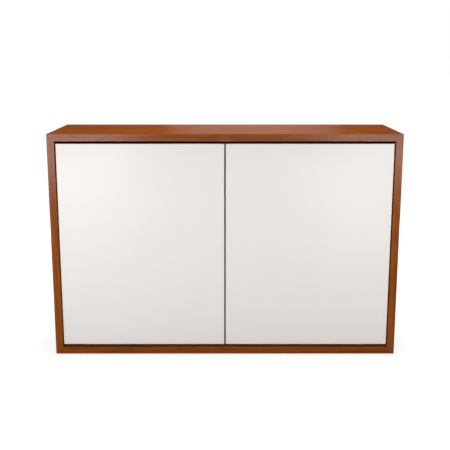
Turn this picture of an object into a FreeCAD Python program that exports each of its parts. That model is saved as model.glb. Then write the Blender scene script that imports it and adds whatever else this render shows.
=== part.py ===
import FreeCAD, Part
import math
import os
import re
import Sketcher
from FreeCAD import Rotation, Vector

# A two-door credenza: a mitred wood case on glides, with plain white doors set back in it.
# Sizes are in millimetres. +Z is up, the doors face -Y, +X is to the viewer's right, and
# the origin is on the floor under the middle of the case.

driving_dimensions = {
    # Case
    "width": 1200,
    "depth": 365,
    "height": 780,
    "board": 25,
    "corner_ease": 1.0,
    "arris_radius": 0.8,
    "spline_width": 16,
    "spline_thickness": 4,
    "spline_stop": 20,
    # Back panel
    "back_thickness": 6,
    "rebate_width": 10,
    "back_clearance": 0.5,
    "back_screw_shank": 3.0,
    "back_screw_head": 6.0,
    "back_screw_length": 20,
    "back_screw_step_across": 270,
    "back_screw_step_up": 240,
    # Divider and its dowels
    "divider_thickness": 19,
    "divider_setback": 3,
    "dowel_diameter": 8,
    "dowel_length": 30,
    "dowel_in_case": 12,
    "dowel_spacing": 110,
    "dowel_chamfer": 1.0,
    # Shelves and the pins that carry them
    "shelf_thickness": 19,
    "shelf_setback": 30,
    "shelf_end_gap": 1.25,
    "shelf_back_gap": 2.5,
    "shelf_pin_diameter": 5,
    "shelf_pin_insert": 8,
    "shelf_pin_collar_diameter": 8,
    "shelf_pin_collar": 1.0,
    "shelf_pin_reach": 8,
    "shelf_pin_chamfer": 0.5,
    "pin_hole_depth": 10,
    "pin_row_height": 384,
    "pin_row_pitch": 32,
    "pin_row_count": 7,
    "pin_front_setback": 65,
    "pin_rear_setback": 42,
    # Glides
    "glide_height": 4,
    "glide_diameter": 25,
    "glide_chamfer": 1.0,
    "glide_inset_across": 60,
    "glide_inset_deep": 45,
    "glide_screw_recess": 0.8,
    "glide_screw_shank": 3.5,
    "glide_screw_head": 7.0,
    "glide_screw_length": 16,
    # Wall brackets
    "bracket_offset": 350,
    "bracket_width": 34,
    "bracket_leaf": 30,
    "bracket_thickness": 2.5,
    "bracket_hole_setback": 18,
    "bracket_screw_spread": 9,
    "wall_hole_diameter": 5.5,
    # Doors
    "door_thickness": 19,
    "door_recess": 8,
    "door_edge_radius": 1.5,
    "side_gap": 3,
    "centre_gap": 5,
    "top_gap": 8.5,
    "bottom_gap": 7.5,
    # Hinges, measured from the pivot
    "hinge_inset": 95,
    "cup_setback": 22.5,
    "pivot_depth": 11.5,
    "cup_diameter": 35,
    "cup_depth": 12,
    "cup_wall": 1.0,
    "cup_floor": 0.8,
    "cup_rim_diameter": 38,
    "flange_thickness": 1.2,
    "wing_length": 62,
    "wing_width": 14,
    "wing_offset": 6,
    "cup_screw_spread": 24,
    "hinge_pin_diameter": 3.2,
    "hinge_pin_length": 34.4,
    "eye_diameter": 6.6,
    "arm_height": 14,
    "strip_thickness": 2.5,
    "neck_angle": 40,
    "neck_reach": 24,
    "neck_radius": 9,
    "crossing_angle": 170,
    "crank_radius": 7,
    "bar_end": 84,
    "plate_thickness": 4,
    "plate_front": 44,
    "plate_rear": 88,
    "plate_wing": 52,
    "plate_wing_length": 48,
    "plate_screw_spread": 16,
    "arm_screw_front": 58,
    "arm_screw_rear": 74,
    "arm_screw_shank": 5,
    "arm_screw_head": 8.5,
    "arm_screw_length": 6,
    # Screws shared by hinges, latches and brackets
    "pan_screw_shank": 3.5,
    "pan_screw_head": 7.0,
    "pan_head_height": 2.2,
    "pan_screw_length": 14,
    "latch_screw_length": 9,
    # Push latches
    "latch_drop": 60,
    "latch_width": 16,
    "latch_height": 20,
    "latch_length": 60,
    "latch_standoff": 7.5,
    "latch_bore": 9.1,
    "latch_bore_depth": 52,
    "latch_touch_gap": 0.3,
    "latch_base_thickness": 2.5,
    "latch_base_length": 30,
    "latch_base_height": 40,
    "latch_screw_spread": 15,
    "latch_edge_radius": 1.0,
    "plunger_diameter": 9.0,
    "plunger_length": 48,
    "plunger_pocket": 20,
    "plunger_chamfer": 0.4,
    "magnet_diameter": 6.8,
    "magnet_thickness": 2.4,
    "spring_width": 3.6,
    "spring_height": 3.0,
    "spring_strip": 1.0,
    "strike_diameter": 16,
    "strike_thickness": 1.2,
    "strike_screw_shank": 3.0,
    "strike_screw_head": 5.2,
    "strike_screw_length": 12,
    # Clearance round a shank, dowel or pin in its hole, and the room left past its end
    "fit": 0.05,
    "hole_runout": 0.5,
}

# Places that follow from the driving dimensions, as expressions in their names
bottom_z = "glide_height"
floor_z = "(glide_height + board)"
ceiling_z = "(glide_height + height - board)"
top_z = "(glide_height + height)"
middle_z = "(glide_height + height / 2)"
outer_x = "(width / 2)"
inner_x = "(width / 2 - board)"
rear_y = "(depth / 2)"
lining_y = "(depth / 2 - back_thickness)"
door_front_y = "(door_recess - depth / 2)"
door_back_y = "(door_recess + door_thickness - depth / 2)"
door_low_z = "(glide_height + board + bottom_gap)"
door_high_z = "(glide_height + height - board - top_gap)"
divider_front_y = "(door_recess + door_thickness + divider_setback - depth / 2)"
pivot_x = "(board + side_gap + cup_setback - width / 2)"
pivot_y = "(door_recess + pivot_depth - depth / 2)"
hinge_heights = {
    "lower": f"({door_low_z} + hinge_inset)",
    "upper": f"({door_high_z} - hinge_inset)",
}
latch_x = "(-divider_thickness / 2 - latch_width / 2)"
latch_y = f"({door_back_y} + latch_standoff)"
latch_z = f"({door_high_z} - latch_drop)"

doc = FreeCAD.newDocument("credenza")
dims = doc.addObject("Spreadsheet::Sheet", "Dims")
for row, (alias, value) in enumerate(driving_dimensions.items(), start=1):
    dims.set(f"A{row}", alias)
    dims.set(f"B{row}", str(value))
    dims.setAlias(f"B{row}", alias)
doc.recompute()

nodes = {}


# Expressions

def bound(text):
    # The expression with each dimension's name pointed at its cell
    def cell(word):
        return f"Dims.{word[0]}" if word[0] in driving_dimensions else word[0]
    return re.sub(r"[a-z_]+", cell, str(text))


def number(text):
    return float(dims.evalExpression(bound(text)))


def bind(target, name, text):
    target.setExpression(name, bound(text))


def place(target, x, y, z):
    for axis, text in zip("xyz", (x, y, z)):
        bind(target, f"Placement.Base.{axis}", text)


def keep(label, target):
    target.Label = label
    nodes[label] = target
    return target


# Sketches and features

planes = {"x": "YZ_Plane", "y": "XZ_Plane", "z": "XY_Plane"}


def new_body(label):
    return doc.addObject("PartDesign::Body", label)


def sketch_across(body, axis, at=0):
    # A sketch square to an axis: it holds (Y, Z) across x, (X, Z) across y, (X, Y) across z
    sketch = body.newObject("Sketcher::SketchObject", "sketch")
    plane = next(item for item in body.Origin.OriginFeatures if item.Role == planes[axis])
    sketch.AttachmentSupport = (plane, [""])
    sketch.MapMode = "FlatFace"
    bind(sketch, "AttachmentOffset.Base.z", f"{normal_sign(sketch)} * ({at})")
    return sketch


def normal_sign(sketch):
    # The plane across y faces -Y, the other two face up their axes
    return -1 if sketch.AttachmentSupport[0][0].Role == "XZ_Plane" else 1


def constrain(sketch, text, kind, *where):
    value = number(text)
    if kind == "Angle":
        value = math.radians(value)
        text = f"({text}) * 1 deg"
    index = sketch.addConstraint(Sketcher.Constraint(kind, *where, value))
    bind(sketch, f"Constraints[{index}]", text)


def fix_point(sketch, shape, vertex, x, y):
    constrain(sketch, x, "DistanceX", -1, 1, shape, vertex)
    constrain(sketch, y, "DistanceY", -1, 1, shape, vertex)


def polygon(sketch, corners):
    first = len(sketch.Geometry)
    count = len(corners)
    points = [Vector(number(x), number(y), 0) for x, y in corners]
    for index, point in enumerate(points):
        sketch.addGeometry(Part.LineSegment(point, points[(index + 1) % count]))
    for index in range(count):
        follower = first + (index + 1) % count
        sketch.addConstraint(Sketcher.Constraint("Coincident", first + index, 2, follower, 1))
    for index, (x, y) in enumerate(corners):
        fix_point(sketch, first + index, 1, x, y)


def rectangle(sketch, left, right, low, high):
    polygon(sketch, [(left, low), (right, low), (right, high), (left, high)])


def circle(sketch, x, y, diameter):
    centre = Vector(number(x), number(y), 0)
    ring = Part.Circle(centre, Vector(0, 0, 1), number(diameter) / 2)
    shape = sketch.addGeometry(ring)
    fix_point(sketch, shape, 3, x, y)
    constrain(sketch, diameter, "Diameter", shape)


def stadium(sketch, x, length, width):
    # An upright bar with round ends, centred on height zero
    radius = number(width) / 2
    reach = number(length) / 2 - radius
    middle = number(x)
    up = Vector(0, 0, 1)
    upper = Part.Circle(Vector(middle, reach, 0), up, radius)
    lower = Part.Circle(Vector(middle, -reach, 0), up, radius)
    left, right = middle - radius, middle + radius
    sketch.addGeometry(Part.ArcOfCircle(upper, 0, math.pi))
    sketch.addGeometry(Part.LineSegment(Vector(left, reach, 0), Vector(left, -reach, 0)))
    sketch.addGeometry(Part.ArcOfCircle(lower, math.pi, 2 * math.pi))
    sketch.addGeometry(Part.LineSegment(Vector(right, -reach, 0), Vector(right, reach, 0)))
    for shape in range(4):
        sketch.addConstraint(Sketcher.Constraint("Tangent", shape, 2, (shape + 1) % 4, 1))
    fix_point(sketch, 0, 3, x, f"({length} - {width}) / 2")
    fix_point(sketch, 2, 3, x, f"({width} - {length}) / 2")
    constrain(sketch, f"{width} / 2", "Radius", 0)
    doc.recompute()


def pad(body, sketch, length, way=0):
    # Grows up its axis for way 1, down it for way -1, and to both sides for way 0
    feature = body.newObject("PartDesign::Pad", "pad")
    feature.Profile = sketch
    bind(feature, "Length", length)
    if way == 0:
        feature.SideType = "Symmetric"
    else:
        feature.Reversed = way != normal_sign(sketch)
    return feature


def pocket(body, sketch, length, way=0):
    feature = body.newObject("PartDesign::Pocket", "pocket")
    feature.Profile = sketch
    bind(feature, "Length", length)
    if way == 0:
        feature.SideType = "Symmetric"
    else:
        feature.Reversed = way == normal_sign(sketch)
    return feature


def drill(body, axis, at, spots, diameter, depth, way):
    sketch = sketch_across(body, axis, at)
    for x, y in spots:
        circle(sketch, x, y, diameter)
    return pocket(body, sketch, depth, way)


def countersink(body, axis, at, spots, shank, head, way):
    # Holes right through, each with a 90 degree seat that leaves the screw head flush
    sketch = sketch_across(body, axis, at)
    for x, y in spots:
        circle(sketch, x, y, shank)
    doc.recompute()
    hole = body.newObject("PartDesign::Hole", "countersunk_holes")
    hole.Profile = sketch
    hole.Threaded = False
    hole.DepthType = "ThroughAll"
    hole.HoleCutType = "Countersink"
    hole.HoleCutCountersinkAngle = 90
    bind(hole, "Diameter", shank)
    bind(hole, "HoleCutDiameter", head)
    hole.Reversed = way == normal_sign(sketch)
    return hole


def turn(body, across, corners):
    # Turns a half outline of (radius, height) corners about the sketch's upright axis
    sketch = sketch_across(body, across)
    polygon(sketch, corners)
    feature = body.newObject("PartDesign::Revolution", "turning")
    feature.Profile = sketch
    feature.ReferenceAxis = (sketch, ["V_Axis"])
    feature.Angle = 360
    return feature


def round_edges(body, radius, chosen):
    doc.recompute()
    base = body.Tip
    edges = enumerate(base.Shape.Edges, start=1)
    names = [f"Edge{index}" for index, edge in edges if chosen(edge.BoundBox)]
    feature = body.newObject("PartDesign::Fillet", "rounding")
    feature.Base = (base, names)
    bind(feature, "Radius", radius)


# Fasteners: each is drawn once with its seat at height zero, pointing down, and then linked

def pan_screw(label, shank, head, length):
    body = new_body(label)
    crown = f"{head} * 0.28"
    shoulder = f"{head} * 0.45"
    turn(body, "y", [
        ("0", "pan_head_height"),
        (crown, "pan_head_height"),
        (shoulder, "pan_head_height * 0.6"),
        (f"{head} / 2", "0"),
        (f"{shank} / 2", "0"),
        (f"{shank} / 2", f"{shank} - {length}"),
        ("0", f"-{length}"),
    ])
    cross_recess(body, "pan_head_height", head)
    return body


def sunk_screw(label, shank, head, length):
    body = new_body(label)
    turn(body, "y", [
        ("0", "0"),
        (f"{head} / 2", "0"),
        (f"{shank} / 2", f"({shank} - {head}) / 2"),
        (f"{shank} / 2", f"{shank} - {length}"),
        ("0", f"-{length}"),
    ])
    cross_recess(body, "0", head)
    return body


def cross_recess(body, height, head):
    # The driver's cross in a screw head
    arm = f"{head} * 0.27"
    web = f"{head} * 0.07"
    recess_depth = f"{head} * 0.17"
    sketch = sketch_across(body, "z", height)
    polygon(sketch, [
        (arm, f"-{web}"), (arm, web), (web, web), (web, arm),
        (f"-{web}", arm), (f"-{web}", web), (f"-{arm}", web), (f"-{arm}", f"-{web}"),
        (f"-{web}", f"-{web}"), (f"-{web}", f"-{arm}"), (web, f"-{arm}"), (web, f"-{web}"),
    ])
    pocket(body, sketch, recess_depth, -1)


def copies(master, into, spots):
    # Links to a fastener, each turned to point into its hole
    links = []
    for x, y, z in spots:
        link = doc.addObject("App::Link", "fastener")
        link.LinkedObject = master
        link.Placement.Rotation = Rotation(Vector(0, 0, -1), Vector(*into))
        place(link, x, y, z)
        links.append(link)
    return links


def group(label, links):
    compound = doc.addObject("Part::Compound", label)
    compound.Links = links
    return keep(label, compound)


back_screw = sunk_screw("back_screw", "back_screw_shank", "back_screw_head", "back_screw_length")
glide_screw = sunk_screw("glide_screw", "glide_screw_shank", "glide_screw_head", "glide_screw_length")
strike_screw = sunk_screw("strike_screw", "strike_screw_shank", "strike_screw_head", "strike_screw_length")
wood_screw = pan_screw("wood_screw", "pan_screw_shank", "pan_screw_head", "pan_screw_length")
latch_screw = pan_screw("latch_screw", "pan_screw_shank", "pan_screw_head", "latch_screw_length")
arm_screw = pan_screw("arm_screw", "arm_screw_shank", "arm_screw_head", "arm_screw_length")

pilot = "pan_screw_shank + 2 * fit"


# Case

steps_across = (-2, -1, 1, 2)
steps_up = (-1, 0, 1)
back_screw_columns = [f"{step} * back_screw_step_across" for step in steps_across]
back_screw_rows = [f"{middle_z} + {step} * back_screw_step_up" for step in steps_up]
divider_middle_y = f"({divider_front_y} + {lining_y}) / 2"
dowel_spots = [("0", f"{divider_middle_y} + {step} * dowel_spacing") for step in steps_up]
dowel_hole = "dowel_diameter + 2 * fit"
back_pilot = "back_screw_shank + 2 * fit"
back_pilot_depth = "back_screw_length - back_thickness + hole_runout"
glide_columns = (f"-{outer_x} + glide_inset_across", "0", f"{outer_x} - glide_inset_across")
glide_rows = (f"-{rear_y} + glide_inset_deep", f"{rear_y} - glide_inset_deep")
bracket_screw_spots = [
    (f"{side} * bracket_offset + {hand} * bracket_screw_spread", f"{lining_y} - bracket_hole_setback")
    for side in (-1, 1) for hand in (-1, 1)
]


def spline_corners(side, level):
    # The spline crosses the mitre squarely, half of it in each board
    long_leg = "(spline_width + spline_thickness) / sqrt(8)"
    short_leg = "(spline_width - spline_thickness) / sqrt(8)"
    x = f"{side} * ({outer_x} - board / 2)"
    z = f"{middle_z} + {level} * (height - board) / 2"
    slope = -side * level
    return [
        (f"{x} + {long_leg}", f"{z} + {slope} * {short_leg}"),
        (f"{x} + {short_leg}", f"{z} + {slope} * {long_leg}"),
        (f"{x} - {long_leg}", f"{z} - {slope} * {short_leg}"),
        (f"{x} - {short_leg}", f"{z} - {slope} * {long_leg}"),
    ]


def slot_for_splines(body, corners):
    sketch = sketch_across(body, "y")
    for side, level in corners:
        polygon(sketch, spline_corners(side, level))
    pocket(body, sketch, "depth - 2 * spline_stop")


def ease_arrises(body, run):
    # Rounds the two long arrises of a case board's front edge
    front = number(f"0.01 - {rear_y}")
    long_run = number("height / 2")
    round_edges(body, "arris_radius", lambda box: box.YMax < front and getattr(box, run) > long_run)


def level_board(label, level):
    # The top panel for level 1, the bottom panel for level -1
    body = new_body(label)
    outer = f"({middle_z} + {level} * height / 2)"
    inner = f"({middle_z} + {level} * (height / 2 - board))"
    tip = f"{outer} - {level} * corner_ease / 2"
    sketch = sketch_across(body, "y")
    polygon(sketch, [
        (f"corner_ease - {outer_x}", outer),
        (f"{outer_x} - corner_ease", outer),
        (f"{outer_x} - corner_ease / 2", tip),
        (inner_x, inner),
        (f"-{inner_x}", inner),
        (f"corner_ease / 2 - {outer_x}", tip),
    ])
    pad(body, sketch, "depth")
    ease_arrises(body, "XLength")
    rebate = sketch_across(body, "x")
    rectangle(rebate, lining_y, rear_y, inner, f"{inner} + {level} * rebate_width")
    pocket(body, rebate, "width")
    slot_for_splines(body, [(-1, level), (1, level)])
    drill(body, "z", inner, dowel_spots, dowel_hole, "dowel_in_case + hole_runout", level)
    back_row = f"{inner} + {level} * rebate_width / 2"
    spots = [(column, back_row) for column in back_screw_columns]
    drill(body, "y", lining_y, spots, back_pilot, back_pilot_depth, -1)
    return keep(label, body)


top_panel = level_board("top_panel", 1)
bracket_pilot_depth = "pan_screw_length - bracket_thickness + hole_runout"
drill(top_panel, "z", ceiling_z, bracket_screw_spots, pilot, bracket_pilot_depth, 1)

bottom_panel = level_board("bottom_panel", -1)
glide_spots = [(x, y) for x in glide_columns for y in glide_rows]
glide_pilot = "glide_screw_shank + 2 * fit"
glide_pilot_depth = "glide_screw_recess + glide_screw_length - glide_height + hole_runout"
drill(bottom_panel, "z", bottom_z, glide_spots, glide_pilot, glide_pilot_depth, 1)

pin_columns = (f"{divider_front_y} + pin_front_setback", f"{lining_y} - pin_rear_setback")
lowest_row = "pin_row_height - (pin_row_count - 1) / 2 * pin_row_pitch"


def drill_pin_rows(body, at, depth, way):
    # Two upright rows of holes for the shelf pins
    spots = [(column, lowest_row) for column in pin_columns]
    first = drill(body, "x", at, spots, "shelf_pin_diameter", depth, way)
    doc.recompute()
    rows = body.newObject("PartDesign::LinearPattern", "pin_rows")
    rows.Originals = [first]
    rows.Direction = (first.Profile[0], ["V_Axis"])
    bind(rows, "Length", "(pin_row_count - 1) * pin_row_pitch")
    bind(rows, "Occurrences", "pin_row_count")
    body.Tip = rows


left_side = new_body("left_side_panel")
outline = sketch_across(left_side, "y")
polygon(outline, [
    (f"-{outer_x}", f"{bottom_z} + corner_ease"),
    (f"corner_ease / 2 - {outer_x}", f"{bottom_z} + corner_ease / 2"),
    (f"-{inner_x}", floor_z),
    (f"-{inner_x}", ceiling_z),
    (f"corner_ease / 2 - {outer_x}", f"{top_z} - corner_ease / 2"),
    (f"-{outer_x}", f"{top_z} - corner_ease"),
])
pad(left_side, outline, "depth")
ease_arrises(left_side, "ZLength")
rebate = sketch_across(left_side, "z", middle_z)
rectangle(rebate, f"-{inner_x} - rebate_width", f"-{inner_x}", lining_y, rear_y)
pocket(left_side, rebate, "height")
slot_for_splines(left_side, [(-1, -1), (-1, 1)])
side_back_spots = [(f"-{inner_x} - rebate_width / 2", row) for row in back_screw_rows]
drill(left_side, "y", lining_y, side_back_spots, back_pilot, back_pilot_depth, -1)
plate_screw_spots = [
    (f"{pivot_y} + plate_wing", f"{height} + {hand} * plate_screw_spread")
    for height in hinge_heights.values() for hand in (-1, 1)
]
plate_pilot_depth = "pan_screw_length - plate_thickness + hole_runout"
drill(left_side, "x", f"-{inner_x}", plate_screw_spots, pilot, plate_pilot_depth, -1)
drill_pin_rows(left_side, f"-{inner_x}", "pin_hole_depth", -1)
keep("left_side_panel", left_side)

splines = new_body("mitre_splines")
spline_outline = sketch_across(splines, "y")
for side in (-1, 1):
    for level in (-1, 1):
        polygon(spline_outline, spline_corners(side, level))
pad(splines, spline_outline, "depth - 2 * spline_stop")
keep("mitre_splines", splines)

divider = new_body("centre_divider")
divider_outline = sketch_across(divider, "z", floor_z)
rectangle(divider_outline, "-divider_thickness / 2", "divider_thickness / 2", divider_front_y, lining_y)
pad(divider, divider_outline, "height - 2 * board", 1)
divider_edge = number(divider_front_y) + 0.01
round_edges(divider, "arris_radius", lambda box: box.YMax < divider_edge and box.ZLength > 1)
dowel_in_divider = "dowel_length - dowel_in_case + hole_runout"
drill(divider, "z", ceiling_z, dowel_spots, dowel_hole, dowel_in_divider, -1)
drill(divider, "z", floor_z, dowel_spots, dowel_hole, dowel_in_divider, 1)
drill(divider, "y", lining_y, [("0", row) for row in back_screw_rows], back_pilot, back_pilot_depth, -1)
latch_screw_spots = [
    (f"{latch_y} + latch_length / 2", f"{latch_z} + {hand} * latch_screw_spread") for hand in (-1, 1)
]
latch_pilot_depth = "latch_screw_length - latch_base_thickness + hole_runout"
for side in (-1, 1):
    drill(divider, "x", f"{side} * divider_thickness / 2", latch_screw_spots, pilot, latch_pilot_depth, -side)
drill_pin_rows(divider, "-divider_thickness / 2", "divider_thickness", 1)
keep("centre_divider", divider)

dowel = new_body("dowel")
turn(dowel, "y", [
    ("0", "0"),
    ("dowel_diameter / 2 - dowel_chamfer", "0"),
    ("dowel_diameter / 2", "-dowel_chamfer"),
    ("dowel_diameter / 2", "dowel_chamfer - dowel_length"),
    ("dowel_diameter / 2 - dowel_chamfer", "-dowel_length"),
    ("0", "-dowel_length"),
])
dowel_tops = (f"{ceiling_z} + dowel_in_case", f"{floor_z} - dowel_in_case + dowel_length")
group("divider_dowels", copies(dowel, (0, 0, -1), [
    (x, y, z) for z in dowel_tops for x, y in dowel_spots
]))

back = new_body("back_panel")
back_outline = sketch_across(back, "y", lining_y)
back_reach = f"({inner_x} + rebate_width - back_clearance)"
rectangle(
    back_outline, f"-{back_reach}", back_reach,
    f"{floor_z} - rebate_width + back_clearance", f"{ceiling_z} + rebate_width - back_clearance",
)
pad(back, back_outline, "back_thickness", 1)
back_screw_spots = [(column, f"{floor_z} - rebate_width / 2") for column in back_screw_columns]
back_screw_spots += [(column, f"{ceiling_z} + rebate_width / 2") for column in back_screw_columns]
for column in (f"-{inner_x} - rebate_width / 2", "0", f"{inner_x} + rebate_width / 2"):
    back_screw_spots += [(column, row) for row in back_screw_rows]
countersink(
    back, "y", rear_y, back_screw_spots,
    "back_screw_shank + 2 * fit", "back_screw_head + 2 * fit", -1,
)
wall_hole_spots = [(f"{side} * bracket_offset", f"{ceiling_z} - bracket_hole_setback") for side in (-1, 1)]
drill(back, "y", rear_y, wall_hole_spots, "wall_hole_diameter", "back_thickness", -1)
keep("back_panel", back)
group("back_panel_screws", copies(back_screw, (0, -1, 0), [
    (x, rear_y, z) for x, z in back_screw_spots
]))

shelf = new_body("left_shelf")
shelf_front_y = f"({door_back_y} + shelf_setback)"
shelf_outline = sketch_across(shelf, "z", "pin_row_height + shelf_pin_diameter / 2")
rectangle(
    shelf_outline, f"shelf_end_gap - {inner_x}", "-divider_thickness / 2 - shelf_end_gap",
    shelf_front_y, f"{lining_y} - shelf_back_gap",
)
pad(shelf, shelf_outline, "shelf_thickness", 1)
shelf_edge = number(shelf_front_y) + 0.01
round_edges(shelf, "arris_radius", lambda box: box.YMax < shelf_edge and box.XLength > 1)
keep("left_shelf", shelf)

shelf_pin = new_body("shelf_pin")
turn(shelf_pin, "y", [
    ("0", "shelf_pin_collar + shelf_pin_reach"),
    ("shelf_pin_diameter / 2 - shelf_pin_chamfer", "shelf_pin_collar + shelf_pin_reach"),
    ("shelf_pin_diameter / 2", "shelf_pin_collar + shelf_pin_reach - shelf_pin_chamfer"),
    ("shelf_pin_diameter / 2", "shelf_pin_collar"),
    ("shelf_pin_collar_diameter / 2", "shelf_pin_collar"),
    ("shelf_pin_collar_diameter / 2", "0"),
    ("shelf_pin_diameter / 2 - fit", "0"),
    ("shelf_pin_diameter / 2 - fit", "shelf_pin_chamfer - shelf_pin_insert"),
    ("shelf_pin_diameter / 2 - shelf_pin_chamfer", "-shelf_pin_insert"),
    ("0", "-shelf_pin_insert"),
])
pins_in_side = copies(shelf_pin, (-1, 0, 0), [
    (f"-{inner_x}", column, "pin_row_height") for column in pin_columns
])
pins_in_divider = copies(shelf_pin, (1, 0, 0), [
    ("-divider_thickness / 2", column, "pin_row_height") for column in pin_columns
])
group("left_shelf_pins", pins_in_side + pins_in_divider)

glide = new_body("glide")
glide_seat = "glide_screw_recess + (glide_screw_head - glide_screw_shank) / 2"
turn(glide, "y", [
    ("glide_screw_head / 2 + fit", "0"),
    ("glide_diameter / 2 - glide_chamfer", "0"),
    ("glide_diameter / 2", "glide_chamfer"),
    ("glide_diameter / 2", "glide_height"),
    ("glide_screw_shank / 2 + fit", "glide_height"),
    ("glide_screw_shank / 2 + fit", glide_seat),
    ("glide_screw_head / 2 + fit", "glide_screw_recess"),
])
group("floor_glides", copies(glide, (0, 0, -1), [(x, y, "0") for x, y in glide_spots]))
group("glide_screws", copies(glide_screw, (0, 0, 1), [
    (x, y, "glide_screw_recess") for x, y in glide_spots
]))

bracket = new_body("left_wall_bracket")
bracket_outline = sketch_across(bracket, "x", "-bracket_offset")
polygon(bracket_outline, [
    (lining_y, ceiling_z),
    (f"{lining_y} - bracket_leaf", ceiling_z),
    (f"{lining_y} - bracket_leaf", f"{ceiling_z} - bracket_thickness"),
    (f"{lining_y} - bracket_thickness", f"{ceiling_z} - bracket_thickness"),
    (f"{lining_y} - bracket_thickness", f"{ceiling_z} - bracket_leaf"),
    (lining_y, f"{ceiling_z} - bracket_leaf"),
])
pad(bracket, bracket_outline, "bracket_width")
left_bracket_spots = bracket_screw_spots[:2]
drill(bracket, "z", ceiling_z, left_bracket_spots, pilot, "bracket_thickness", -1)
drill(bracket, "y", lining_y, wall_hole_spots[:1], "wall_hole_diameter", "bracket_thickness", -1)
keep("left_wall_bracket", bracket)
group("left_bracket_screws", copies(wood_screw, (0, 0, 1), [
    (x, y, f"{ceiling_z} - bracket_thickness") for x, y in left_bracket_spots
]))


# Doors

door = new_body("left_door_panel")
door_outline = sketch_across(door, "y", door_front_y)
rectangle(door_outline, f"side_gap - {inner_x}", "-centre_gap / 2", door_low_z, door_high_z)
pad(door, door_outline, "door_thickness", 1)
round_edges(door, "door_edge_radius", lambda box: True)
cup_spots = [(pivot_x, height) for height in hinge_heights.values()]
drill(door, "y", door_back_y, cup_spots, "cup_diameter + 2 * fit", "cup_depth + hole_runout", -1)
cup_screw_spots = [
    (f"{pivot_x} + wing_offset", f"{height} + {hand} * cup_screw_spread")
    for height in hinge_heights.values() for hand in (-1, 1)
]
cup_pilot_depth = "pan_screw_length - flange_thickness + hole_runout"
drill(door, "y", door_back_y, cup_screw_spots, pilot, cup_pilot_depth, -1)
strike_spots = [(latch_x, latch_z)]
strike_pilot = "strike_screw_shank + 2 * fit"
strike_pilot_depth = "strike_screw_length - strike_thickness + hole_runout"
drill(door, "y", door_back_y, strike_spots, strike_pilot, strike_pilot_depth, -1)
keep("left_door_panel", door)

group("left_cup_screws", copies(wood_screw, (0, -1, 0), [
    (x, f"{door_back_y} + flange_thickness", z) for x, z in cup_screw_spots
]))

strike = new_body("left_strike_plate")
strike_outline = sketch_across(strike, "y", door_back_y)
circle(strike_outline, latch_x, latch_z, "strike_diameter")
pad(strike, strike_outline, "strike_thickness", 1)
countersink(
    strike, "y", f"{door_back_y} + strike_thickness", strike_spots,
    strike_pilot, "strike_screw_head + 2 * fit", -1,
)
keep("left_strike_plate", strike)
group("left_strike_screw", copies(strike_screw, (0, -1, 0), [
    (latch_x, f"{door_back_y} + strike_thickness", latch_z)
]))


# Hinges: each piece is drawn about its own pivot, with +X into the case and +Y to the rear

cup_mouth = "(door_thickness - pivot_depth)"
side_face = "(-cup_setback - side_gap)"
bar_middle = f"({side_face} + plate_thickness + strip_thickness / 2)"


def hinge_cup(label):
    body = new_body(label)
    bottom = f"({cup_mouth} - cup_depth)"
    turn(body, "z", [
        ("0", bottom),
        ("cup_diameter / 2", bottom),
        ("cup_diameter / 2", cup_mouth),
        ("cup_rim_diameter / 2", cup_mouth),
        ("cup_rim_diameter / 2", f"{cup_mouth} + flange_thickness"),
        ("cup_diameter / 2 - cup_wall", f"{cup_mouth} + flange_thickness"),
        ("cup_diameter / 2 - cup_wall", f"{bottom} + cup_floor"),
        ("0", f"{bottom} + cup_floor"),
    ])
    wing = sketch_across(body, "y", cup_mouth)
    stadium(wing, "wing_offset", "wing_length", "wing_width")
    pad(body, wing, "flange_thickness", 1)
    mouth = [("0", "0")]
    face = f"{cup_mouth} + flange_thickness"
    drill(body, "y", face, mouth, "cup_diameter - 2 * cup_wall", "flange_thickness", -1)
    screws = [("wing_offset", f"{hand} * cup_screw_spread") for hand in (-1, 1)]
    drill(body, "y", face, screws, pilot, "flange_thickness", -1)
    drill(body, "z", "0", mouth, "hinge_pin_diameter + 2 * fit", "cup_rim_diameter", 0)
    return body


def hinge_pin(label):
    body = doc.addObject("Part::Cylinder", label)
    bind(body, "Radius", "hinge_pin_diameter / 2")
    bind(body, "Height", "hinge_pin_length")
    return body


def heading(angle):
    return Vector(math.cos(angle), math.sin(angle), 0)


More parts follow.
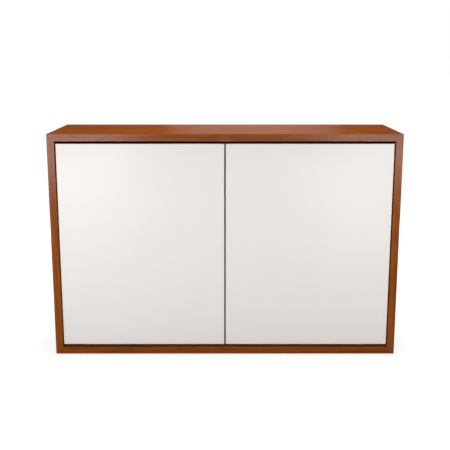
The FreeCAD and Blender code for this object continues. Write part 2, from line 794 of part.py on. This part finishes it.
def draw_arm_path(sketch):
    # Centre line of the bent strip: the bar along the plate, the crank off it, the crossing
    # behind the door, the goose neck round the door's edge and the run to the eye
    neck = math.radians(number("neck_angle"))
    crossing = math.radians(number("crossing_angle"))
    quarter = math.pi / 2
    neck_radius = number("neck_radius")
    crank_radius = number("crank_radius")
    bar_x = number(bar_middle)
    neck_start = heading(neck) * number("neck_reach")
    neck_centre = neck_start + heading(neck + quarter) * neck_radius
    neck_end = neck_centre - heading(crossing + quarter) * neck_radius
    crank_start_x = bar_x + crank_radius * (1 - math.sin(crossing))
    crossing_length = (crank_start_x - neck_end.x) / math.cos(crossing)
    crank_start = neck_end + heading(crossing) * crossing_length
    crank_centre = crank_start - heading(crossing + quarter) * crank_radius
    crank_end = Vector(bar_x, crank_centre.y, 0)
    up = Vector(0, 0, 1)
    crank_circle = Part.Circle(crank_centre, up, crank_radius)
    neck_circle = Part.Circle(neck_centre, up, neck_radius)
    bar = sketch.addGeometry(Part.LineSegment(Vector(bar_x, number("bar_end"), 0), crank_end))
    crank = sketch.addGeometry(Part.ArcOfCircle(crank_circle, math.pi, crossing + quarter))
    cross = sketch.addGeometry(Part.LineSegment(neck_end, crank_start))
    bend = sketch.addGeometry(Part.ArcOfCircle(neck_circle, neck - quarter, crossing - quarter))
    run = sketch.addGeometry(Part.LineSegment(Vector(0, 0, 0), neck_start))
    for meeting in ((bar, 2, crank, 1), (crank, 2, cross, 2), (cross, 1, bend, 2), (bend, 1, run, 2)):
        sketch.addConstraint(Sketcher.Constraint("Tangent", *meeting))
    sketch.addConstraint(Sketcher.Constraint("Coincident", run, 1, -1, 1))
    sketch.addConstraint(Sketcher.Constraint("Vertical", bar))
    fix_point(sketch, bar, 1, bar_middle, "bar_end")
    constrain(sketch, "crank_radius", "Radius", crank)
    constrain(sketch, "neck_radius", "Radius", bend)
    constrain(sketch, "neck_reach", "Distance", run)
    constrain(sketch, "neck_angle", "Angle", run)
    constrain(sketch, "crossing_angle", "Angle", cross)


arm_screw_columns = ("arm_screw_front", "arm_screw_rear")
arm_screw_hole = "arm_screw_shank + 2 * fit"


def hinge_arm(label):
    body = new_body(label)
    path = sketch_across(body, "z")
    draw_arm_path(path)
    section = sketch_across(body, "y", "bar_end")
    half_strip = "strip_thickness / 2"
    rectangle(
        section, f"{bar_middle} - {half_strip}", f"{bar_middle} + {half_strip}",
        "-arm_height / 2", "arm_height / 2",
    )
    doc.recompute()
    strip = body.newObject("PartDesign::AdditivePipe", "strip")
    strip.Profile = section
    strip.Spine = (path, [f"Edge{index}" for index in range(1, 6)])
    eye = sketch_across(body, "z")
    circle(eye, "0", "0", "eye_diameter")
    pad(body, eye, "arm_height")
    drill(body, "z", "0", [("0", "0")], "hinge_pin_diameter + 2 * fit", "arm_height", 0)
    spots = [(column, "0") for column in arm_screw_columns]
    drill(body, "x", f"{bar_middle} + {half_strip}", spots, arm_screw_hole, "strip_thickness", -1)
    return body


def hinge_plate(label):
    body = new_body(label)
    rail = sketch_across(body, "x", side_face)
    rectangle(rail, "plate_front", "plate_rear", "-arm_height / 2", "arm_height / 2")
    pad(body, rail, "plate_thickness", 1)
    wing = sketch_across(body, "x", side_face)
    stadium(wing, "plate_wing", "plate_wing_length", "arm_height")
    pad(body, wing, "plate_thickness", 1)
    face = f"{side_face} + plate_thickness"
    screws = [("plate_wing", f"{hand} * plate_screw_spread") for hand in (-1, 1)]
    drill(body, "x", face, screws, pilot, "plate_thickness", -1)
    spots = [(column, "0") for column in arm_screw_columns]
    drill(body, "x", face, spots, arm_screw_hole, "plate_thickness", -1)
    return body


hinge_makers = {
    "hinge_cup": hinge_cup,
    "hinge_arm": hinge_arm,
    "hinge_plate": hinge_plate,
}
for level, height in hinge_heights.items():
    for piece, maker in hinge_makers.items():
        label = f"left_{level}_{piece}"
        place(keep(label, maker(label)), pivot_x, pivot_y, height)
    label = f"left_{level}_hinge_pin"
    place(keep(label, hinge_pin(label)), pivot_x, pivot_y, f"{height} - hinge_pin_length / 2")

group("left_plate_screws", copies(wood_screw, (-1, 0, 0), [
    (f"plate_thickness - {inner_x}", y, z) for y, z in plate_screw_spots
]))
group("left_arm_screws", copies(arm_screw, (-1, 0, 0), [
    (f"plate_thickness + strip_thickness - {inner_x}", f"{pivot_y} + {column}", height)
    for height in hinge_heights.values() for column in arm_screw_columns
]))


# Push latches: each piece is drawn about its plunger's axis, with the housing's front at y = 0

plunger_front = "(strike_thickness + latch_touch_gap - latch_standoff)"
pocket_bottom = f"({plunger_front} + plunger_length - plunger_pocket)"


def place_in_latch(label, body):
    place(keep(label, body), latch_x, latch_y, latch_z)


housing = new_body("left_latch_housing")
housing_outline = sketch_across(housing, "y")
rectangle(housing_outline, "-latch_width / 2", "latch_width / 2", "-latch_height / 2", "latch_height / 2")
pad(housing, housing_outline, "latch_length", 1)
round_edges(housing, "latch_edge_radius", lambda box: box.YLength > 1 and box.XMax < 0)
base = sketch_across(housing, "x", "latch_width / 2")
rectangle(
    base, "(latch_length - latch_base_length) / 2", "(latch_length + latch_base_length) / 2",
    "-latch_base_height / 2", "latch_base_height / 2",
)
pad(housing, base, "latch_base_thickness", -1)
drill(housing, "y", "0", [("0", "0")], "latch_bore", "latch_bore_depth", 1)
base_holes = [("latch_length / 2", f"{hand} * latch_screw_spread") for hand in (-1, 1)]
drill(housing, "x", "latch_width / 2", base_holes, pilot, "latch_base_thickness", -1)
place_in_latch("left_latch_housing", housing)

plunger = new_body("left_latch_plunger")
magnet_seat = "magnet_diameter / 2 + fit"
turn(plunger, "z", [
    ("0", f"{plunger_front} + magnet_thickness"),
    (magnet_seat, f"{plunger_front} + magnet_thickness"),
    (magnet_seat, plunger_front),
    ("plunger_diameter / 2 - plunger_chamfer", plunger_front),
    ("plunger_diameter / 2", f"{plunger_front} + plunger_chamfer"),
    ("plunger_diameter / 2", f"{plunger_front} + plunger_length"),
    ("plunger_diameter / 3", f"{plunger_front} + plunger_length"),
    ("plunger_diameter / 3", pocket_bottom),
    ("0", pocket_bottom),
])
place_in_latch("left_latch_plunger", plunger)

magnet = new_body("left_latch_magnet")
turn(magnet, "z", [
    ("0", plunger_front),
    ("magnet_diameter / 2", plunger_front),
    ("magnet_diameter / 2", f"{plunger_front} + magnet_thickness"),
    ("0", f"{plunger_front} + magnet_thickness"),
])
place_in_latch("left_latch_magnet", magnet)

spring_folds = 10
spring_step = f"((latch_bore_depth - {pocket_bottom}) / {spring_folds})"
zigzag = [
    (f"{(-1) ** fold} * spring_width / 2", f"{pocket_bottom} + {fold} * {spring_step}")
    for fold in range(spring_folds + 1)
]
spring_near = [(f"{x} - spring_strip / 2", y) for x, y in zigzag]
spring_far = [(f"{x} + spring_strip / 2", y) for x, y in reversed(zigzag)]
spring = new_body("left_latch_spring")
spring_outline = sketch_across(spring, "z")
polygon(spring_outline, spring_near + spring_far)
pad(spring, spring_outline, "spring_height")
place_in_latch("left_latch_spring", spring)

group("left_latch_screws", copies(latch_screw, (1, 0, 0), [
    ("-divider_thickness / 2 - latch_base_thickness", y, z) for y, z in latch_screw_spots
]))


# The right-hand pieces are the left-hand ones seen in a mirror

for label, left_piece in list(nodes.items()):
    if label.startswith("left_"):
        mirrored = doc.addObject("Part::Mirroring", label.replace("left_", "right_"))
        mirrored.Source = left_piece
        mirrored.Normal = Vector(1, 0, 0)
        keep(label.replace("left_", "right_"), mirrored)

doc.recompute()
for item in doc.Objects:
    if "Invalid" in item.State or "Error" in item.State:
        raise RuntimeError(f"{item.Label} did not build: {item.State}")
for label, node in nodes.items():
    if node.Shape.isNull() or not node.Shape.isValid():
        raise RuntimeError(f"{label} has no valid shape")

os.makedirs("parts", exist_ok=True)
for label, node in nodes.items():
    node.Shape.exportStep(f"parts/{label}.step")
print(f"{len(nodes)} nodes written")
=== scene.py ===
import math

import bpy
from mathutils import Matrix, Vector


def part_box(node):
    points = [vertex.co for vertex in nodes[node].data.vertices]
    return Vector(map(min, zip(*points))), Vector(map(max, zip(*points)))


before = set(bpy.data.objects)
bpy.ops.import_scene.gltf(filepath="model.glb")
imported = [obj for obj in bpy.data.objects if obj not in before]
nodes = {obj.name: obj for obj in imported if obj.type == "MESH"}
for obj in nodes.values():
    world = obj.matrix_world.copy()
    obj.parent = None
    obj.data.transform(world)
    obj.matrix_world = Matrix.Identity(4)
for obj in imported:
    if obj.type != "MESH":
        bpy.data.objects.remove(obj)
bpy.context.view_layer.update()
print("frame loaded:", len(nodes), "nodes")


# Node tree helpers

noiseRange = (0.3, 0.7)   # most of a noise pattern lies between these


def paint(red, green, blue):
    # A colour as a picture shows it, 0 to 255, in Blender's linear light
    def linear(value):
        share = value / 255
        return share / 12.92 if share <= 0.04045 else ((share + 0.055) / 1.055) ** 2.4
    return (linear(red), linear(green), linear(blue), 1.0)


def plug(tree, value, socket):
    if isinstance(value, bpy.types.NodeSocket):
        tree.links.new(value, socket)
    else:
        socket.default_value = value


def addNode(tree, kind, inputs, **settings):
    node = tree.nodes.new(kind)
    for name, value in settings.items():
        setattr(node, name, value)
    for name, value in inputs.items():
        plug(tree, value, node.inputs[name])
    return node


def objectPoint(tree):
    return addNode(tree, "ShaderNodeTexCoord", {}).outputs["Object"]


def mapped(tree, point, scale=(1, 1, 1), turn=(0, 0, 0), shift=(0, 0, 0)):
    node = addNode(tree, "ShaderNodeMapping", {
        "Vector": point, "Scale": scale, "Rotation": turn, "Location": shift})
    return node.outputs["Vector"]


def noise(tree, point, scale=1.0, detail=2.0, roughness=0.5, distortion=0.0):
    node = addNode(tree, "ShaderNodeTexNoise", {
        "Vector": point, "Scale": scale, "Detail": detail,
        "Roughness": roughness, "Distortion": distortion})
    return node.outputs[0]


def stretchedNoise(tree, point, stretch, **settings):
    return noise(tree, mapped(tree, point, scale=stretch), **settings)


def calc(tree, operation, first, second=0.0):
    node = addNode(tree, "ShaderNodeMath", {0: first, 1: second}, operation=operation)
    return node.outputs[0]


def spread(tree, value, fromLow, fromHigh, toLow, toHigh):
    node = addNode(tree, "ShaderNodeMapRange", {
        "Value": value, "From Min": fromLow, "From Max": fromHigh,
        "To Min": toLow, "To Max": toHigh})
    return node.outputs["Result"]


def ramp(tree, value, stops):
    node = addNode(tree, "ShaderNodeValToRGB", {"Fac": value})
    band = node.color_ramp
    while len(band.elements) < len(stops):
        band.elements.new(0.5)
    for element, (place, colour) in zip(band.elements, stops):
        element.position = place
        element.color = colour
    return node.outputs["Color"]


def blendColours(tree, share, first, second):
    # The Mix node's colour sockets go by number: 6 and 7 take the two colours, 2 gives the blend
    node = addNode(tree, "ShaderNodeMix", {0: share, 6: first, 7: second}, data_type="RGBA")
    return node.outputs[2]


def newFinish(name, inputs):
    finish = bpy.data.materials.new(name)
    finish.use_nodes = True
    shader = finish.node_tree.nodes["Principled BSDF"]
    for socket, value in inputs.items():
        shader.inputs[socket].default_value = value
    return finish, finish.node_tree, shader


def setRoughness(tree, shader, pattern, limits, patternRange=noiseRange):
    plug(tree, spread(tree, pattern, *patternRange, *limits), shader.inputs["Roughness"])


def setBump(tree, shader, relief, strength, height):
    node = addNode(tree, "ShaderNodeBump", {
        "Height": relief, "Strength": strength, "Distance": height})
    plug(tree, node.outputs["Normal"], shader.inputs["Normal"])


def dress(node, finish):
    mesh = nodes[node].data
    mesh.materials.clear()
    mesh.materials.append(finish)


# Case boards: stained veneer, its grain along each board

veneer = {
    "dark": paint(118, 55, 13),
    "middle": paint(133, 67, 16),
    "light": paint(146, 77, 22),
    "toneStops": (0.34, 0.52, 0.7),   # the tones at which these three stand
    "figureLines": 22.0,
    "lineShare": 0.12,   # what the figure's lines, the fibres and the cloud add to the tone
    "fibreShare": 0.6,
    "cloudShare": 0.32,
    "pore": paint(90, 39, 13),
    "poreShare": 0.3,
    "poreRange": (0.6, 0.72),
    "roughness": (0.44, 0.56),
    "specular": 0.0,
    "coat": 0.0165,
    "coatRoughness": 0.21,
    "coatIOR": 4.0,   # a hard wax shine that stays even at a flat angle
    "bumpStrength": 0.25,
    "bumpHeight": 0.00012,
    "rubbed": paint(163, 90, 39),   # where hands and cloths thin the stain
    "rubShare": 0.4,
    "rubRange": (0.35, 0.65),
    "rubReach": 0.003,
}

# Noises that make up the wood, each stretched along the grain
grainLayers = {
    "figure": {"stretch": (0.9, 6.0, 6.0), "detail": 1.6, "roughness": 0.45, "distortion": 0.15},
    "fibres": {"stretch": (3.0, 150.0, 150.0), "detail": 4.0, "roughness": 0.62},
    "cloud": {"stretch": (1.4, 5.0, 5.0), "detail": 2.0},
    "pores": {"stretch": (30.0, 900.0, 900.0), "detail": 1.0},
}

grainTurns = {
    "x": (0, 0, 0),
    "y": (0, 0, math.pi / 2),
    "z": (0, math.pi / 2, 0),
}


def edgeShare(tree, box, reach):
    # One along the edges of a board's box, nought a little way in from them
    point = addNode(tree, "ShaderNodeSeparateXYZ", {"Vector": objectPoint(tree)})
    near = []
    for axis, low, high in zip("XYZ", *box):
        fromLow = calc(tree, "SUBTRACT", point.outputs[axis], low)
        fromHigh = calc(tree, "SUBTRACT", high, point.outputs[axis])
        near.append(spread(tree, calc(tree, "MINIMUM", fromLow, fromHigh), 0, reach, 1, 0))
    across = calc(tree, "MULTIPLY", near[0], near[1])
    upright = calc(tree, "MULTIPLY", near[1], near[2])
    endwise = calc(tree, "MULTIPLY", near[2], near[0])
    return calc(tree, "MAXIMUM", calc(tree, "MAXIMUM", across, upright), endwise)


# Painted shade on the divider's front edge, where the gap between the doors shows only shade
gapShadeBand = {
    "board": "centre_divider",
    "colour": paint(36, 33, 32),   # painted shade: the gap between the doors reads dark and grey
    "shade": paint(27, 25, 24),
    "depth": 0.0014,
    "bandBlend": 0.0002,
}


def gapShaded(tree, wood, fibres, box):
    # Painted shade: a dark band on a board's front edge and its two arrises, so the gap in front of
    # it reads dark
    point = addNode(tree, "ShaderNodeSeparateXYZ", {"Vector": objectPoint(tree)})
    seam = box[0][1] + gapShadeBand["depth"]
    band = spread(tree, point.outputs["Y"], seam, seam + gapShadeBand["bandBlend"], 1, 0)
    tone = blendColours(tree, fibres, gapShadeBand["shade"], gapShadeBand["colour"])
    return blendColours(tree, band, wood, tone)


def veneerFinish(name, grain, shift, look, box=None, gapShade=False):
    finish, tree, shader = newFinish(name, {
        "Specular IOR Level": look["specular"], "Coat Weight": look["coat"],
        "Coat Roughness": look["coatRoughness"], "Coat IOR": look["coatIOR"]})
    along = mapped(tree, objectPoint(tree), turn=grainTurns[grain], shift=shift)
    layers = {layer: stretchedNoise(tree, along, **how) for layer, how in grainLayers.items()}
    fibres = layers["fibres"]
    pores = spread(tree, layers["pores"], *look["poreRange"], 0, 1)
    lines = calc(tree, "MULTIPLY", layers["figure"], look["figureLines"] * math.tau)
    lines = spread(tree, calc(tree, "SINE", lines), -1, 1, 0, 1)
    tone = calc(tree, "MULTIPLY", lines, look["lineShare"])
    tone = calc(tree, "ADD", tone, calc(tree, "MULTIPLY", fibres, look["fibreShare"]))
    tone = calc(tree, "ADD", tone, calc(tree, "MULTIPLY", layers["cloud"], look["cloudShare"]))
    colours = (look["dark"], look["middle"], look["light"])
    wood = ramp(tree, tone, list(zip(look["toneStops"], colours)))
    wood = blendColours(tree, calc(tree, "MULTIPLY", pores, look["poreShare"]), wood, look["pore"])
    if box:
        patches = spread(tree, fibres, *look["rubRange"], 0, look["rubShare"])
        worn = calc(tree, "MULTIPLY", edgeShare(tree, box, look["rubReach"]), patches)
        wood = blendColours(tree, worn, wood, look["rubbed"])
    if gapShade:
        wood = gapShaded(tree, wood, fibres, box)
    plug(tree, wood, shader.inputs["Base Color"])
    setRoughness(tree, shader, fibres, look["roughness"])
    relief = calc(tree, "SUBTRACT", fibres, pores)
    setBump(tree, shader, relief, look["bumpStrength"], look["bumpHeight"])
    return finish


bottomVeneerShaded = {   # painted shade: this low board, nearest the floor, is coloured a little darker than the others
    **veneer,
    "dark": paint(112, 50, 11),
    "middle": paint(126, 60, 14),
    "light": paint(139, 70, 19),
}

backVeneer = {
    **veneer,
    "dark": paint(108, 49, 17),
    "middle": paint(123, 59, 21),
    "light": paint(136, 71, 28),
    "roughness": (0.6, 0.72),
    "coat": 0.0065,
}

# Each board's grain axis, its place in the pattern and its veneer
boardGrain = {
    "top_panel": ("x", (0.0, 0.0, 0.0), veneer),
    "bottom_panel": ("x", (3.1, 1.3, 0.4), bottomVeneerShaded),
    "left_side_panel": ("z", (1.7, 2.2, 5.1), veneer),
    "right_side_panel": ("z", (4.3, 0.6, 2.8), veneer),
    "centre_divider": ("z", (6.2, 3.7, 1.9), veneer),
    "left_shelf": ("x", (7.7, 4.1, 3.3), veneer),
    "right_shelf": ("x", (9.4, 5.2, 0.7), veneer),
    "back_panel": ("x", (2.6, 8.8, 6.4), backVeneer),
}

for node, (grain, shift, look) in boardGrain.items():
    # the divider's front edge takes the painted shade band
    gapShade = node == gapShadeBand["board"]
    dress(node, veneerFinish(node + "_veneer", grain, shift, look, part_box(node), gapShade))
print("boards veneered:", len(boardGrain))


# Doors: sprayed off-white lacquer on board

lacquer = {
    "colour": paint(235, 232, 229),
    "shade": paint(231, 227, 223),
    "cloud": 3.0,
    "cloudDetail": 3.0,
    "roughness": (0.4, 0.46),
    "specular": 0.4,
    "orangePeel": 420.0,
    "bumpStrength": 0.2,
    "bumpHeight": 0.00004,
}


def lacquerFinish(name, look):
    finish, tree, shader = newFinish(name, {"Specular IOR Level": look["specular"]})
    point = objectPoint(tree)
    cloud = noise(tree, point, look["cloud"], look["cloudDetail"])
    peel = noise(tree, point, look["orangePeel"], detail=1.0)
    colour = blendColours(tree, cloud, look["colour"], look["shade"])
    plug(tree, colour, shader.inputs["Base Color"])
    setRoughness(tree, shader, cloud, look["roughness"])
    setBump(tree, shader, peel, look["bumpStrength"], look["bumpHeight"])
    return finish


doorFinish = lacquerFinish("door_lacquer_sprayed", lacquer)
for side in ("left", "right"):
    dress(side + "_door_panel", doorFinish)
print("doors lacquered")


# Splines and dowels: plain beech, flecked, out of sight in the joints

beech = {
    **veneer,
    "dark": paint(176, 138, 96),
    "middle": paint(196, 160, 116),
    "light": paint(210, 178, 136),
    "pore": paint(140, 98, 62),
    "figureLines": 9.0,
    "poreShare": 0.5,
    "roughness": (0.62, 0.74),
    "coat": 0.0,
}

dress("mitre_splines", veneerFinish("spline_beech", "y", (0.3, 0.8, 0.1), beech))
dress("divider_dowels", veneerFinish("dowel_beech", "z", (0.7, 0.2, 0.9), beech))
print("splines and dowels in beech")


# Metal pieces: plating over pressed, turned or drawn steel

platings = {
    "hinge_steel": {
        "colour": paint(208, 205, 199), "shade": paint(184, 181, 175), "roughness": (0.34, 0.48),
        "mottle": 70.0, "strokes": (60.0, 60.0, 700.0), "spangle": 0.0, "bumpHeight": 0.00003},
    "shelf_pin_steel": {
        "colour": paint(198, 196, 191), "shade": paint(163, 160, 155), "roughness": (0.16, 0.3),
        "mottle": 90.0, "strokes": (2600.0, 50.0, 50.0), "spangle": 0.0, "bumpHeight": 0.00004},
    "pin_steel": {
        "colour": paint(190, 188, 185), "shade": paint(150, 148, 145), "roughness": (0.14, 0.26),
        "mottle": 90.0, "strokes": (50.0, 50.0, 2600.0), "spangle": 0.0, "bumpHeight": 0.00004},
    "screw_steel": {
        "colour": paint(190, 189, 184), "shade": paint(148, 147, 142), "roughness": (0.28, 0.46),
        "mottle": 240.0, "strokes": (900.0, 900.0, 900.0), "spangle": 0.0, "bumpHeight": 0.00003},
    "bracket_steel": {
        "colour": paint(184, 185, 184), "shade": paint(146, 148, 149), "roughness": (0.3, 0.5),
        "mottle": 60.0, "strokes": (500.0, 60.0, 60.0), "spangle": 190.0, "bumpHeight": 0.00003},
    "strike_steel": {
        "colour": paint(194, 192, 188), "shade": paint(164, 162, 158), "roughness": (0.24, 0.36),
        "mottle": 80.0, "strokes": (40.0, 900.0, 900.0), "spangle": 0.0, "bumpHeight": 0.00002},
    "spring_steel": {
        "colour": paint(122, 122, 124), "shade": paint(88, 90, 96), "roughness": (0.28, 0.4),
        "mottle": 140.0, "strokes": (60.0, 1200.0, 1200.0), "spangle": 0.0, "bumpHeight": 0.00002},
}

platedSurface = {   # the same for every plating
    "detail": 3.0,
    "grit": 0.6,
    "toneRange": (0.3, 0.75),
    "wearRange": (0.35, 0.65),
    "spangleGain": 2.0,
    "bumpStrength": 0.3,
}


def platedFinish(name, look):
    finish, tree, shader = newFinish(name, {"Metallic": 1.0})
    point = objectPoint(tree)
    grit = {"detail": platedSurface["detail"], "roughness": platedSurface["grit"]}
    mottle = noise(tree, point, look["mottle"], **grit)
    strokes = stretchedNoise(tree, point, look["strokes"], **grit)
    tone = mottle
    if look["spangle"]:   # zinc crystals
        crystals = addNode(tree, "ShaderNodeTexVoronoi", {"Vector": point, "Scale": look["spangle"]})
        tone = calc(tree, "MULTIPLY", crystals.outputs["Color"], mottle)
        tone = calc(tree, "MULTIPLY", tone, platedSurface["spangleGain"])
    tone = spread(tree, tone, *platedSurface["toneRange"], 0, 1)
    colour = blendColours(tree, tone, look["colour"], look["shade"])
    plug(tree, colour, shader.inputs["Base Color"])
    wear = calc(tree, "MULTIPLY", calc(tree, "ADD", mottle, strokes), 0.5)   # their mean
    setRoughness(tree, shader, wear, look["roughness"], platedSurface["wearRange"])
    setBump(tree, shader, strokes, platedSurface["bumpStrength"], look["bumpHeight"])
    return finish


# Moulded pieces: fine spark texture from the mould

mouldings = {
    "latch_plastic": {
        "colour": paint(146, 144, 139), "shade": paint(134, 132, 127), "roughness": (0.42, 0.54),
        "texture": 1500.0, "scuffs": 0.06, "bumpHeight": 0.00004},
    "plunger_plastic": {
        "colour": paint(204, 202, 197), "shade": paint(192, 190, 184), "roughness": (0.34, 0.46),
        "texture": 1800.0, "scuffs": 0.1, "bumpHeight": 0.00003},
    "glide_plastic": {
        "colour": paint(52, 44, 40), "shade": paint(40, 34, 31), "roughness": (0.4, 0.56),
        "texture": 1300.0, "scuffs": 0.22, "bumpHeight": 0.00005},
    "magnet": {
        "colour": paint(58, 58, 60), "shade": paint(42, 42, 45), "roughness": (0.5, 0.66),
        "texture": 2600.0, "scuffs": 0.12, "bumpHeight": 0.00005},
}

mouldedSurface = {   # the same for every moulding
    "specular": 0.45,
    "cloud": 60.0,
    "scuffStretch": (90.0, 700.0, 700.0),
    "scuffRange": (0.58, 0.7),
    "scuffColour": paint(190, 188, 184),
    "bumpStrength": 0.3,
}


def mouldedFinish(name, look):
    finish, tree, shader = newFinish(name, {"Specular IOR Level": mouldedSurface["specular"]})
    point = objectPoint(tree)
    cloud = noise(tree, point, mouldedSurface["cloud"])
    texture = noise(tree, point, look["texture"], detail=1.0)
    scuffs = stretchedNoise(tree, point, mouldedSurface["scuffStretch"])
    scuffs = spread(tree, scuffs, *mouldedSurface["scuffRange"], 0, 1)
    scuffs = calc(tree, "MULTIPLY", scuffs, look["scuffs"])
    colour = blendColours(tree, cloud, look["colour"], look["shade"])
    colour = blendColours(tree, scuffs, colour, mouldedSurface["scuffColour"])
    plug(tree, colour, shader.inputs["Base Color"])
    setRoughness(tree, shader, texture, look["roughness"])
    setBump(tree, shader, texture, mouldedSurface["bumpStrength"], look["bumpHeight"])
    return finish


# The record's material slot says which finish a piece of hardware takes
hardware = {slot: platedFinish(slot + "_plated", look) for slot, look in platings.items()}
hardware.update({slot: mouldedFinish(slot + "_moulded", look) for slot, look in mouldings.items()})
for name, node in nodes.items():
    slot = node.data.materials[0].name
    if slot in hardware:
        dress(name, hardware[slot])
print("hardware finished:", len(hardware), "finishes")


# Stage: a white floor that runs to a white horizon and keeps a soft shadow

stageLook = {
    "floorSize": 60.0,
    "floorColour": paint(180, 180, 180),
    "floorGlow": 0.72,
    "glowReach": (1.0, 4.0),   # from the floor's own glow to the sky's
    "skyColour": paint(255, 255, 255),
    "skyGlow": 1.0,
    "skyLight": 0.05,
}


def seenDirectly(tree):
    # One for rays from the camera and those that a mirror or glass turns back, else nought
    path = addNode(tree, "ShaderNodeLightPath", {})
    seen = calc(tree, "MAXIMUM", path.outputs["Is Camera Ray"], path.outputs["Is Glossy Ray"])
    return calc(tree, "MAXIMUM", seen, path.outputs["Is Transmission Ray"])


def makeFloor():
    bpy.ops.mesh.primitive_plane_add(size=stageLook["floorSize"])
    floor = bpy.context.object
    floor.name = "studio_floor"
    finish = bpy.data.materials.new("studio_white")
    finish.use_nodes = True
    tree = finish.node_tree
    tree.nodes.clear()
    output = addNode(tree, "ShaderNodeOutputMaterial", {})
    matt = addNode(tree, "ShaderNodeBsdfDiffuse", {"Color": stageLook["floorColour"]})
    away = addNode(tree, "ShaderNodeVectorMath", {"Vector": objectPoint(tree)}, operation="LENGTH")
    glowLevel = spread(tree, away.outputs["Value"], *stageLook["glowReach"],
                       stageLook["floorGlow"], stageLook["skyGlow"])
    glow = addNode(tree, "ShaderNodeEmission", {
        "Strength": calc(tree, "MULTIPLY", seenDirectly(tree), glowLevel)})
    both = addNode(tree, "ShaderNodeAddShader", {0: matt.outputs[0], 1: glow.outputs[0]})
    plug(tree, both.outputs[0], output.inputs["Surface"])
    floor.data.materials.append(finish)


def makeSky():
    world = bpy.data.worlds.new("studio_sky")
    bpy.context.scene.world = world
    world.use_nodes = True
    tree = world.node_tree
    background = tree.nodes["Background"]
    level = spread(tree, seenDirectly(tree), 0, 1, stageLook["skyLight"], stageLook["skyGlow"])
    plug(tree, stageLook["skyColour"], background.inputs["Color"])
    plug(tree, level, background.inputs["Strength"])


makeFloor()
makeSky()

lamps = {
    "left_softbox": {
        "at": (-0.97, -2.05, 0.55), "aim": (-0.85, -0.18, 0.64),
        "size": (0.95, 0.44), "power": 8.75, "fan": 105},
    "right_softbox": {
        "at": (0.97, -2.05, 0.55), "aim": (0.85, -0.18, 0.64),
        "size": (0.95, 0.44), "power": 7.5, "fan": 105},
    "centre_softbox": {
        "at": (0.0, -2.1, 0.57), "aim": (0.0, -0.18, 0.75),
        "size": (1.1, 0.25), "power": 0.64, "fan": 105},
    "top_softbox": {
        "at": (0.0, -0.05, 2.7), "aim": (0.0, -0.05, 0.0),
        "size": (1.8, 1.2), "power": 50.0, "fan": 180},
    "rear_softbox": {
        "at": (0.2, 2.4, 1.21), "aim": (0.16, 0.0, 0.78),
        "size": (1.18, 0.54), "power": 22.0, "fan": 180},
    "left_side_softbox": {
        "at": (-2.7, 0.1, 0.9), "aim": (-0.6, 0.1, 0.4),
        "size": (0.7, 0.7), "power": 8.0, "fan": 120},
    "right_side_softbox": {
        "at": (2.7, 0.1, 0.9), "aim": (0.6, 0.1, 0.4),
        "size": (0.7, 0.7), "power": 8.0, "fan": 120},
    "left_back_softbox": {
        "at": (-1.3, 2.2, 0.6), "aim": (0.0, 0.18, 0.4),
        "size": (0.8, 0.3), "power": 10.0, "fan": 180},
    "right_back_softbox": {
        "at": (1.3, 2.2, 0.6), "aim": (0.0, 0.18, 0.4),
        "size": (0.8, 0.3), "power": 10.0, "fan": 180},
}

for name, lamp in lamps.items():
    data = bpy.data.lights.new(name, "AREA")
    data.shape = "ELLIPSE"   # its shine fades out at the ends
    data.size, data.size_y = lamp["size"]
    data.energy = lamp["power"]
    data.spread = math.radians(lamp["fan"])
    softbox = bpy.data.objects.new(name, data)
    bpy.context.scene.collection.objects.link(softbox)
    softbox.location = lamp["at"]
    way = Vector(lamp["aim"]) - Vector(lamp["at"])
    softbox.rotation_euler = way.to_track_quat("-Z", "Y").to_euler()
    softbox.visible_camera = False

view = {
    "at": (0.0, -2.8474, 1.0498),
    "dip": math.radians(12.23),   # down from level
    "lens": 63.535,
    "sensor": 36.0,
}

cameraData = bpy.data.cameras.new("photo_camera")
cameraData.lens = view["lens"]
cameraData.sensor_width = view["sensor"]
camera = bpy.data.objects.new("photo_camera", cameraData)
bpy.context.scene.collection.objects.link(camera)
camera.location = view["at"]
camera.rotation_euler = (math.pi / 2 - view["dip"], 0, 0)
bpy.context.scene.camera = camera
bpy.context.scene.view_settings.view_transform = "Standard"
print("stage, lamps and camera set")
